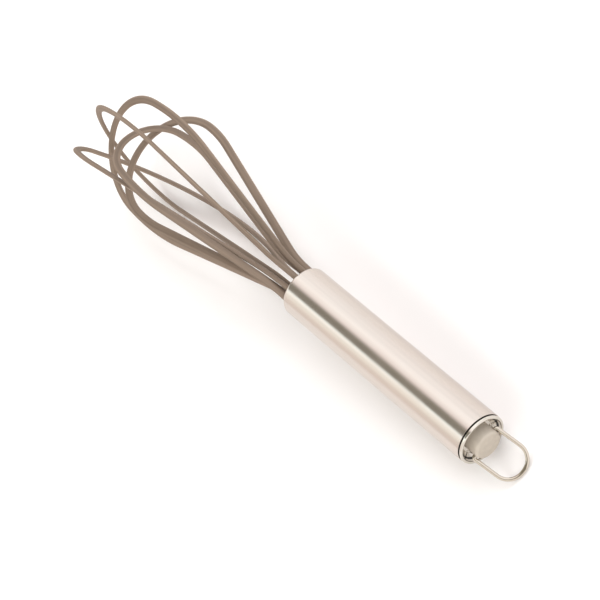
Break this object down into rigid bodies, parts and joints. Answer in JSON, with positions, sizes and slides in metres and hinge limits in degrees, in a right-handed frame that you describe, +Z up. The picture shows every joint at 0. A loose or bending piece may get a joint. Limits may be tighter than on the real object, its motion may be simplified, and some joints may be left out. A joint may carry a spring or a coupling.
{
  "type": "balloon whisk",
  "caption": "Balloon whisk with silicone-coated wire loops in a round steel handle and a swinging hanging loop.",
  "frame": {"origin": "middle of the bounding box, on the surface that the whisk lies on", "axes": "+X along the handle towards the wire loops, +Z up, the hinge of the hanging loop along Y"},
  "size_m": [0.3082, 0.0614, 0.063],
  "materials": {
    "brushed_steel": "satin, brushed along the handle",
    "polished_steel": "polished",
    "spring_wire": "drawn",
    "silicone": "matte",
    "plug_rubber": "matte",
    "resin": "cast"
  },
  "bodies": {
    "whisk": {"handle_tube": "brushed_steel", "end_cap": "polished_steel", "cap_button": "brushed_steel", "button_clip": "polished_steel", "mouth_plug": "plug_rubber", "wire_potting": "resin", "wire_core_a": "spring_wire", "wire_core_b": "spring_wire", "wire_core_c": "spring_wire", "wire_core_d": "spring_wire", "wire_core_e": "spring_wire", "silicone_sleeve_a": "silicone", "silicone_sleeve_b": "silicone", "silicone_sleeve_c": "silicone", "silicone_sleeve_d": "silicone", "silicone_sleeve_e": "silicone"},
    "loop": {"hanging_loop": "polished_steel"}
  },
  "joints": [
    {"name": "loop_swing", "type": "hinge", "parent": "whisk", "child": "loop", "pos_m": [-0.13608, 0.00296, 0.01256], "axis": [0.0041, 0.9986, -0.0522], "range_deg": [-59.5, 118.5]}
  ]
}
